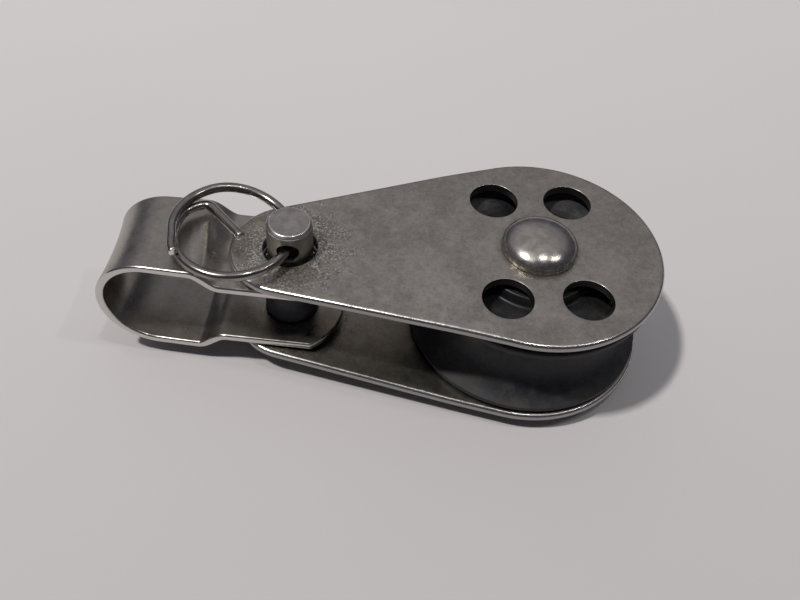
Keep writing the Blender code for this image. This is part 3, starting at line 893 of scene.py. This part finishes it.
# %% Nylon finish
def nylon(name, centre, dark, light, groove_radius=None, web=None):
    """Dark turned nylon with fine rings and a dusty film; web is a ring (inner, outer) painted darker as
    shade.
    """
    plastic = Finish(name, {"Metallic": 0.0, "Specular IOR Level": 0.32})
    place = plastic.place()
    across = plastic.radius_about(centre)
    tool_marks = plastic.rings(across + plastic.height(), 0.11 * MM)
    film = plastic.noise(place, 3.0 * MM, 5.0, 0.68, 0.3)
    dust = plastic.noise(place, 0.16 * MM, 3.0, 0.7)
    grit = plastic.specks(place, 0.07 * MM, 0.12)
    nicks = plastic.scratches(place, 12, 0.05 * MM, 1.6 * MM, 0.04)
    veil = (film * 0.7 + dust * 0.3).step(0.42, 0.66)
    wear = plastic.painted("wear")
    colour = plastic.mix(veil * 0.9, dark, light)
    colour = plastic.mix(grit * 0.5, colour, (0.13, 0.125, 0.11))
    colour = plastic.mix(wear * 0.2, colour, (0.06, 0.06, 0.06))
    rough = 0.52 + veil * 0.2 + (tool_marks - 0.5) * 0.12 - wear * 0.04
    if web:
        # Painted shade: the recessed web between hub and rim is painted darker.
        painted_shade = across.step(web[0], web[0] + 0.3 * MM) * across.step(web[1] + 0.3 * MM, web[1])
        colour = plastic.shade(colour, painted_shade, 0.45)
    if groove_radius:
        polish = across.step(groove_radius + 1.6 * MM, groove_radius)
        rough = rough - polish * 0.10
    plastic.set("Base Color", colour)
    plastic.set("Roughness", rough)
    plastic.bump(tool_marks * 0.8 + dust * 1.1 - nicks * 0.8, 0.007 * MM, 0.6)
    return plastic.material


# %% Sheave
sheave_low, sheave_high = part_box("sheave")
SHEAVE_RADIUS = sheave_high.x
SHEAVE_HALF = (sheave_high.z - sheave_low.z) / 2
SHEAVE_LEVEL = (sheave_high.z + sheave_low.z) / 2
SHEAVE_BORE = 3.7 * MM
HUB_RADIUS = SHEAVE_BORE + 2.4 * MM
GROOVE_DEPTH = 3.0 * MM
RIM_LAND = 0.7 * MM
WEB_RECESS = 1.2 * MM
HUB_TAPER = 0.3 * MM
RIM_WALL = 1.1 * MM
RIM_LIP = 0.1 * MM


def sheave_profile():
    """Down the side, through the groove and back along the other side to the bore."""
    groove_half = SHEAVE_HALF - RIM_LAND
    groove_radius = (groove_half ** 2 + GROOVE_DEPTH ** 2) / (2 * GROOVE_DEPTH)
    groove_centre = SHEAVE_RADIUS - GROOVE_DEPTH + groove_radius
    spread = math.asin(groove_half / groove_radius)
    web = SHEAVE_HALF - WEB_RECESS
    rim = SHEAVE_RADIUS - RIM_WALL
    side = [
        (SHEAVE_BORE, SHEAVE_HALF), (HUB_RADIUS, SHEAVE_HALF), (HUB_RADIUS + HUB_TAPER, web),
        (rim - GROOVE_DEPTH, web), (rim, SHEAVE_HALF - WEB_RECESS / 4),
        (rim + RIM_LIP, SHEAVE_HALF), (SHEAVE_RADIUS, SHEAVE_HALF),
    ]
    sizes = [0.2 * MM, 0.2 * MM, 0.35 * MM, 0.8 * MM, 0, 0.08 * MM, 0.28 * MM]
    groove = []
    for step in range(41):
        angle = spread * (1 - 2 * step / 40)
        r = groove_centre - groove_radius * math.cos(angle)
        groove.append((r, groove_radius * math.sin(angle)))
    points = side + groove + [(r, -z) for r, z in side[::-1]]
    sizes = sizes + [0.10 * MM] + [0] * 39 + [0.10 * MM] + sizes[::-1]
    profile = rounded(points, sizes, 4, closed=True)
    return [(r, SHEAVE_LEVEL + z, wear) for r, z, wear in profile]


sheave_finish = nylon(
    "dark_nylon", AXLE, (0.013, 0.014, 0.018), (0.054, 0.051, 0.045),
    groove_radius=SHEAVE_RADIUS - GROOVE_DEPTH, web=(HUB_RADIUS, SHEAVE_RADIUS - GROOVE_DEPTH - 0.6 * MM),
)
sheave_mesh = turned("nylon_sheave", sheave_profile(), AXLE, sheave_finish, steps=144)
add_piece("nylon_sheave", sheave_mesh, "sheave", "sheave")

# %% [markdown]
# ## Pin and spacer
#
# The clevis pin is turned and cross-drilled, and its spacer is a thin nylon
# tube.  The pin has lathe marks round it and facing marks on its end, and a
# bright chamfer; its shank is painted darker than its end, as painted shade on
# its side.  The turning tree makes both, and one Boolean drills the pin, with
# its mouth broken by a small bevel.

# %% Pin sizes
pin_low, pin_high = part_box("clevis_pin")
PIN_RADIUS = 2.5 * MM
PIN_HEAD_RADIUS = pin_high.x - PIN.x
PIN_CHAMFER = 0.3 * MM
PIN_HEAD_GAP = 0.08 * MM
CROSS_HOLE_RADIUS = 1.2 * MM
MOUTH_BEVEL = 0.12 * MM
HEAD_TOP = lower_low.z + float(crank_drop(PIN.x + PIN_HEAD_RADIUS)) - PIN_HEAD_GAP

# %% Pin finish
def make_pin_finish():
    steel = Finish("machined_pin", {"Metallic": 1.0})
    place = steel.place()
    across = steel.radius_about(PIN)
    lathe = steel.rings(across + steel.height(), 0.07 * MM)
    blotches = steel.noise(place, 1.4 * MM, 4.0, 0.65, 0.4)
    grain = steel.noise(place, 0.09 * MM, 2.0, 0.6)
    rows = [(70, 0.03 * MM, 1.4 * MM, 0.06), (-12, 0.03 * MM, 1.1 * MM, 0.05)]
    marks = steel.crossing_scratches(place, rows)
    wear = steel.painted("wear")
    # Painted shade: the side of the pin below its end face is painted darker than the end.
    shank_shade = steel.height().step(pin_high.z - 0.25 * MM, pin_high.z - 0.45 * MM)
    colour = steel.mix(blotches.step(0.35, 0.65), (0.31, 0.295, 0.275), (0.43, 0.41, 0.38))
    colour = steel.shade(colour, shank_shade, 0.60)
    steel.set("Base Color", steel.mix(wear * 0.8, colour, (0.72, 0.70, 0.67)))
    steel.set("Roughness", 0.30 + blotches * 0.14 + lathe * 0.06 - wear * 0.14)
    steel.bump(lathe * 0.5 + grain * 0.5 + blotches * 0.8 + marks * 0.3, 0.004 * MM, 0.6)
    return steel.material


# %% Pin
def pin_profile():
    corners = [
        (0.0, pin_high.z), (PIN_RADIUS - PIN_CHAMFER, pin_high.z),
        (PIN_RADIUS, pin_high.z - PIN_CHAMFER), (PIN_RADIUS, HEAD_TOP),
        (PIN_HEAD_RADIUS, HEAD_TOP), (PIN_HEAD_RADIUS, pin_low.z), (0.0, pin_low.z),
    ]
    sizes = [0, 0.22 * MM, 0.22 * MM, 0.1 * MM, 0.3 * MM, 0.3 * MM, 0]
    return rounded(corners, sizes, 4)


def drill(mesh, height):
    """Drill the cross-hole and break its mouth with a small bevel."""
    pin = new_object("pin_blank", mesh)
    bit_shape = bmesh.new()
    bmesh.ops.create_cone(
        bit_shape, cap_ends=True, segments=48,
        radius1=CROSS_HOLE_RADIUS, radius2=CROSS_HOLE_RADIUS, depth=4 * PIN_RADIUS,
    )
    bit_mesh = store_shape(bit_shape, bpy.data.meshes.new("drill_bit"))
    bit_mesh.transform(Matrix.Rotation(math.pi / 2, 4, "X"))
    bit_mesh.transform(Matrix.Rotation(RING_TURN, 4, "Z"))
    bit_mesh.transform(Matrix.Translation((PIN.x, PIN.y, height)))
    bit = new_object("drill_bit", bit_mesh)
    drilled = pin.modifiers.new("Drill", "BOOLEAN")
    drilled.object = bit
    drilled.solver = "EXACT"
    broken = pin.modifiers.new("Break edge", "BEVEL")
    broken.width = MOUTH_BEVEL
    broken.segments = 3
    broken.limit_method = "ANGLE"
    broken.angle_limit = math.radians(46)
    result = taken_from(pin)
    bpy.data.objects.remove(bit)
    return result


pin_blank = turned("pin_blank", pin_profile(), PIN, make_pin_finish(), closed=False)
pin_mesh = closed_up(drill(pin_blank, RING_HINGE.z))
pin_mesh.name = "drilled_pin"
smooth(pin_mesh, 30)
add_piece("drilled_pin", pin_mesh, "pin", "clevis_pin")

# %% Spacer
SPACER_BORE = 2.6 * MM
spacer_low, spacer_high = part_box("pin_spacer")
spacer_outer = spacer_high.x - PIN.x
spacer_corners = [
    (spacer_outer, spacer_high.z), (spacer_outer, spacer_low.z),
    (SPACER_BORE, spacer_low.z), (SPACER_BORE, spacer_high.z),
]
spacer_profile = rounded(spacer_corners, [0.1 * MM] * 4, 3, closed=True)
spacer_finish = nylon("spacer_nylon_finish", PIN, (0.022, 0.025, 0.030), (0.060, 0.062, 0.064))
spacer_mesh = turned("nylon_spacer", spacer_profile, PIN, spacer_finish)
add_piece("nylon_spacer", spacer_mesh, "spacer", "pin_spacer")

# %% [markdown]
# ## Shackle strap
#
# The strap begins as a flat blank with a round-ended tab at each end, and is
# folded round a former into an eye.  Modelling it the same way keeps the
# thickness true and the edges rounded everywhere: a flat plate is made with
# its holes, cut across wherever it will bend, and every point is then carried
# from its place along the blank to the same place along the folded line.  The
# blank's own coordinates are kept as an attribute, so the grain of the sheet
# runs round the eye with the metal.

# %% Folded line
STRAP_SHEET = 0.9 * MM
STRAP_WAIST = 0.3 * MM
TAB_OUTER_GAP = 0.17 * MM
TAB_END = 6.0 * MM
TAB_END_ROUND = 7.0 * MM
TAB_HOLE_RADIUS = 2.8 * MM
STRAP_HALF_WIDTH = 5.75 * MM
STRAP_EDGE_ROUND = 0.28 * MM
STRAP_WEAR = 0.35 * MM
INSIDE_SHADE_FADE = 2.4 * MM
EYE_HOLLOW = 0.40 * MM
BEND_REACH = 12.0 * MM
PITCH_ALONG = 0.3 * MM
PITCH_ACROSS = 0.55 * MM
JOGGLE_START = SMALL_RADIUS + 0.15 * MM
JOGGLE_LENGTH = 3.2 * MM
EYE_CENTRE = 14.5 * MM
STRAP_REST_TURN = math.radians(-6.5)
strap_low, strap_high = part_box("strap")
EYE_OUTER = (strap_high.z - strap_low.z) / 2


def ease(amount):
    amount = np.clip(amount, 0.0, 1.0)
    return amount * amount * (3 - 2 * amount)


def half_line():
    """The sheet's middle line (u, z) from the crown of the eye to the end of the upper tab."""
    tab = CHEEK_INNER - TIP_DROP - TAB_OUTER_GAP - STRAP_SHEET / 2
    eye = EYE_OUTER - STRAP_SHEET / 2
    line = arc((EYE_CENTRE, 0.0), eye, 0.0, math.pi / 2, 90)
    for step in range(1, 21):
        share = step / 20
        line.append((EYE_CENTRE + (JOGGLE_START + JOGGLE_LENGTH - EYE_CENTRE) * share, eye))
    for step in range(1, 61):
        share = 1 - step / 60
        line.append((JOGGLE_START + JOGGLE_LENGTH * share, tab + (eye - tab) * float(ease(share))))
    return np.array(line + [(-TAB_END - STRAP_SHEET, tab)])


HALF_LINE = half_line()
STEPS = np.hypot(*np.diff(HALF_LINE, axis=0).T)
ALONG = np.concatenate([[0.0], np.cumsum(STEPS)])
PIN_ALONG = ALONG[-1] - TAB_END - STRAP_SHEET
print(f"the strap's blank is {2 * (PIN_ALONG + TAB_END) / MM:.1f} mm long")


def on_line(distance):
    """The middle line's u and z at a distance from the crown."""
    return np.array([np.interp(distance, ALONG, HALF_LINE[:, axis]) for axis in (0, 1)])


def folded(s, offset):
    """Where a point of the blank goes: s from the crown, offset outwards from the middle line."""
    distance = np.abs(s)
    near = 0.02 * MM
    u, z = on_line(distance)
    run_u, run_z = on_line(distance + near) - on_line(distance - near)
    at_crown = distance < near
    run_u = np.where(at_crown, 0.0, run_u)
    run_z = np.where(at_crown, 1.0, run_z)
    run = np.hypot(run_u, run_z)
    u = u + offset * run_z / run
    z = z - offset * run_u / run
    return u, np.where(s < 0, -z, z)


# %% Strap finish
def make_strap_finish():
    dark = (0.335, 0.317, 0.280)
    light = (0.460, 0.436, 0.388)
    steel, place, colour, relief, rough = satin_steel("folded_stainless", dark, light, 0.6)
    blank = steel.painted("blank_place", "Vector")
    rolled = steel.noise(steel.moved(blank, scale=(0.12, 1, 1)), 0.30 * MM, 3.0, 0.6)
    wear = steel.painted("wear")
    worn = (wear + (steel.noise(place, 0.3 * MM) - 0.5) * 0.6).step(0.3, 0.8)
    dull = steel.noise(place, 4.5 * MM, 3.0, 0.6).step(0.5, 0.75)
    colour = steel.shade(colour, dull * 0.5, 0.84)
    # Painted shade: the inner faces of the eye are painted darker, fading out towards their edges.
    colour = steel.shade(colour, steel.painted("inside"), 0.62)
    steel.set("Base Color", steel.mix(worn, colour, (0.66, 0.64, 0.61)))
    steel.set("Roughness", rough - 0.04 + dull * 0.07 + (rolled - 0.5) * 0.08 - worn * 0.15)
    steel.bump(relief + rolled * 0.5, 0.003 * MM, 0.55)
    return steel.material


# %% Strap
def half_width(u):
    """The strap is a little waisted over the eye, by its distance u from the pin."""
    start = EYE_CENTRE - EYE_OUTER
    share = (u - start) / (2 * EYE_OUTER + STRAP_SHEET)
    return STRAP_HALF_WIDTH - STRAP_WAIST * float(ease(share))


def blank_outline():
    """One quarter of the blank is worked out, and mirrored lengthways and across."""
    quarter = []
    for step in range(41):
        s = PIN_ALONG * step / 40
        quarter.append((s, half_width(on_line(s)[0])))
    turn = math.asin(STRAP_HALF_WIDTH / TAB_END_ROUND)
    centre = PIN_ALONG - (TAB_END_ROUND - TAB_END)
    quarter += arc((centre, 0.0), TAB_END_ROUND, turn, 0.0, 18)
    half = quarter + [(s, -v) for s, v in quarter[-2::-1]]
    return half + [(-s, v) for s, v in half[-2:0:-1]]


def make_strap():
    outlines = [
        blank_outline(),
        hole(PIN_ALONG, 0.0, TAB_HOLE_RADIUS),
        hole(-PIN_ALONG, 0.0, TAB_HOLE_RADIUS),
    ]
    mesh = flat_plate("strap_blank", outlines, STRAP_SHEET, STRAP_EDGE_ROUND)
    reach = PIN_ALONG + TAB_END
    lines = [(0, s) for s in spaced(-reach, reach, PITCH_ALONG)]
    lines += [(1, v) for v in spaced(-STRAP_HALF_WIDTH, STRAP_HALF_WIDTH, PITCH_ACROSS)]
    cut_grid(mesh, lines)
    places = points_of(mesh)
    s, v, offset = places.T
    kept = mesh.attributes.new("blank_place", "FLOAT_VECTOR", "POINT")
    kept.data.foreach_set("vector", places.astype(np.float32).ravel())
    widths = np.array([half_width(u) for u in on_line(np.abs(s))[0]])
    round_end = PIN_ALONG - (TAB_END_ROUND - TAB_END)
    end = TAB_END_ROUND - np.hypot(np.abs(s) - round_end, v)
    end = np.where(np.abs(s) > PIN_ALONG, end, widths)
    hole_rim = np.hypot(np.abs(s) - PIN_ALONG, v) - TAB_HOLE_RADIUS
    distance = np.minimum(np.minimum(widths - np.abs(v), end), hole_rim)
    paint(mesh, "wear", np.clip(1 - distance / STRAP_WEAR, 0.0, 1.0))
    # The inner faces get painted shade, fading out within a few millimetres of the edges so that the lit
    # band along them stays light.
    inner_face = offset < -0.4 * STRAP_SHEET
    painted_shade = np.clip(distance / INSIDE_SHADE_FADE, 0.0, 1.0) ** 2
    paint(mesh, "inside", np.where(inner_face, painted_shade, 0.0))
    bent = ease((BEND_REACH - np.abs(s)) / BEND_REACH)
    hollow = EYE_HOLLOW * bent * (1 - (v / STRAP_HALF_WIDTH) ** 2)
    u, z = folded(s, offset - hollow)
    set_points(mesh, np.column_stack([-u, v, z]))
    mesh.transform(Matrix.Rotation(STRAP_REST_TURN, 4, "Z"))
    mesh.transform(Matrix.Translation((PIN.x, PIN.y, MID)))
    closed_up(mesh)
    mesh.materials.append(make_strap_finish())
    smooth(mesh)
    return add_piece("folded_strap", mesh, "strap", "strap")


make_strap()

# %% [markdown]
# ## Cotter ring
#
# The ring is a hard wire wound a little past a full turn, so that one end lies
# over the other and the tail is bent in across the middle.  Its middle line is
# worked out from a few angles, and a Geometry Nodes tree sweeps a round
# section along it.  The tree keeps each point's place along and around the
# wire, which lets the drawing lines of the finish run along it.

# %% The wire tree
WIRE_RADIUS = 0.53 * MM
WIRE_SIDES = 20


def named(nodes, geometry, name, value, kind):
    """Geometry that carries a value under a name."""
    values = {"Geometry": geometry, "Name": name, "Value": value}
    return nodes.node("GeometryNodeStoreNamedAttribute", {"data_type": kind}, values)


def make_wire_tree():
    """Sweep a round section along the seed line, scaled by its thick attribute."""
    nodes, ports = geometry_tree("draw_wire", {"Wire radius": WIRE_RADIUS, "Sides": WIRE_SIDES})
    line = nodes.node("GeometryNodeMeshToCurve", {}, [ports["Geometry"]])
    length = nodes.node("GeometryNodeSplineParameter", out="Length")
    line = named(nodes, line, "wire_along", length, "FLOAT")
    values = {"Resolution": ports["Sides"], "Radius": ports["Wire radius"]}
    section = nodes.node("GeometryNodeCurvePrimitiveCircle", {}, values)
    place = nodes.node("GeometryNodeInputPosition")
    section = named(nodes, section, "wire_section", place, "FLOAT_VECTOR")
    thick = nodes.node("GeometryNodeInputNamedAttribute", {"data_type": "FLOAT"}, {"Name": "thick"})
    values = {"Curve": line, "Profile Curve": section, "Scale": thick, "Fill Caps": True}
    return close_tree(nodes, nodes.node("GeometryNodeCurveToMesh", {}, values), ports)


wire_tree = make_wire_tree()


# %% Wire finish
def make_wire_finish():
    steel = Finish("spring_wire", {"Metallic": 1.0})
    place = steel.place()
    along = steel.painted("wire_along")
    section = steel.painted("wire_section", "Vector")
    stretched = steel.node("ShaderNodeCombineXYZ", {}, {"Z": along * 0.06})
    drawn = steel.noise(steel.vector("ADD", [section, stretched]), 0.09 * MM, 3.0, 0.6)
    tarnish = steel.noise(place, 2.4 * MM, 4.0, 0.65, 0.5).step(0.42, 0.68)
    smut = steel.noise(place, 0.35 * MM, 3.0, 0.7)
    pits = steel.specks(place, 0.08 * MM, 0.10)
    colour = steel.mix(tarnish, (0.34, 0.324, 0.297), (0.22, 0.205, 0.186))
    colour = steel.shade(colour, pits, 0.5)
    colour = steel.mix(steel.painted("cut_end"), colour, (0.80, 0.78, 0.75))
    steel.set("Base Color", colour)
    steel.set("Roughness", 0.17 + tarnish * 0.11 + (smut - 0.5) * 0.12 + drawn * 0.05)
    steel.bump(drawn * 0.7 + smut * 0.8 - pits, 0.004 * MM, 0.5)
    return steel.material


# %% Ring
RING_RADIUS = 6.25 * MM
RING_CENTRE_TO_PIN = 6.10 * MM
LAYER = 2 * WIRE_RADIUS + 0.08 * MM
FREE_END = 219
FLARE = 0.6 * MM
FLARE_ANGLE = 25
LIFT_END = 120
LEVEL_FROM = 35
INWARD_FROM = -205
BEND = -233
BEND_RADIUS = 5.45 * MM
BEND_ROUND = 0.9 * MM
TAIL_TIP = Vector((0.95, -0.4, 0.0)) * MM


def ring_route():
    """The wire's middle line about the ring's centre, from the free end to the tail."""
    route = []
    for angle in np.arange(FREE_END, BEND + 9, -3.0):
        turn = math.radians(angle)
        lift = LAYER * float(ease((angle - LEVEL_FROM) / (LIFT_END - LEVEL_FROM)))
        inward = float(ease((INWARD_FROM - angle) / (INWARD_FROM - BEND)))
        flare = float(ease((angle - FREE_END + FLARE_ANGLE) / FLARE_ANGLE)) * FLARE
        radius = RING_RADIUS - (RING_RADIUS - BEND_RADIUS) * inward + flare
        route.append(Vector((radius * math.cos(turn), radius * math.sin(turn), lift)))
    turn = math.radians(BEND)
    corner = Vector((math.cos(turn), math.sin(turn), 0.0)) * BEND_RADIUS
    start = corner + (route[-1] - corner).normalized() * BEND_ROUND
    end = corner + (TAIL_TIP - corner).normalized() * BEND_ROUND
    for step in range(9):
        share = step / 8
        route.append(start.lerp(corner, share).lerp(corner.lerp(end, share), share))
    for step in range(1, 9):
        route.append(end.lerp(TAIL_TIP, step / 8))
    return route


def with_cut_ends(route):
    """Add close points at both ends, where the cutter has rounded the wire over."""
    shoulder = 0.16 * MM
    profile = [(shoulder, 1.0), (shoulder * 0.45, 0.95), (shoulder * 0.15, 0.86), (0.0, 0.72)]
    points = route[1:-1]
    thick = [1.0] * len(points)
    cut = [0.0] * len(points)
    for place, (tip, inner) in ((0, (route[0], route[1])), (1, (route[-1], route[-2]))):
        back = (inner - tip).normalized()
        for distance, share in profile:
            at = 0 if place == 0 else len(points)
            points.insert(at, tip + back * distance)
            thick.insert(at, share)
            cut.insert(at, 0.0 if distance == shoulder else 1.0)
    return points, thick, cut


def make_ring():
    points, thick, cut = with_cut_ends(ring_route())
    seed = seed_line("ring", points, {"thick": thick, "cut_end": cut})
    values = {"Wire radius": WIRE_RADIUS, "Sides": WIRE_SIDES, "Material": make_wire_finish()}
    mesh = closed_up(grow("spring_ring", seed, wire_tree, values))
    mesh.transform(Matrix.Translation((-RING_CENTRE_TO_PIN, 0.0, 0.0)))
    mesh.transform(Matrix.Rotation(RING_TURN, 4, "Z"))
    mesh.transform(Matrix.Translation(RING_HINGE))
    smooth(mesh, 50)
    return add_piece("spring_ring", mesh, "ring", "cotter_ring")


make_ring()

# %% Sizes and finish
boxes = {
    "cad": [list(corner) for corner in CAD_BOX],
    "visual": [list(corner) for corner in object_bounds()],
}
for label, (low, high) in boxes.items():
    print(label, "box in mm:", [round(v / MM, 2) for v in low], [round(v / MM, 2) for v in high])
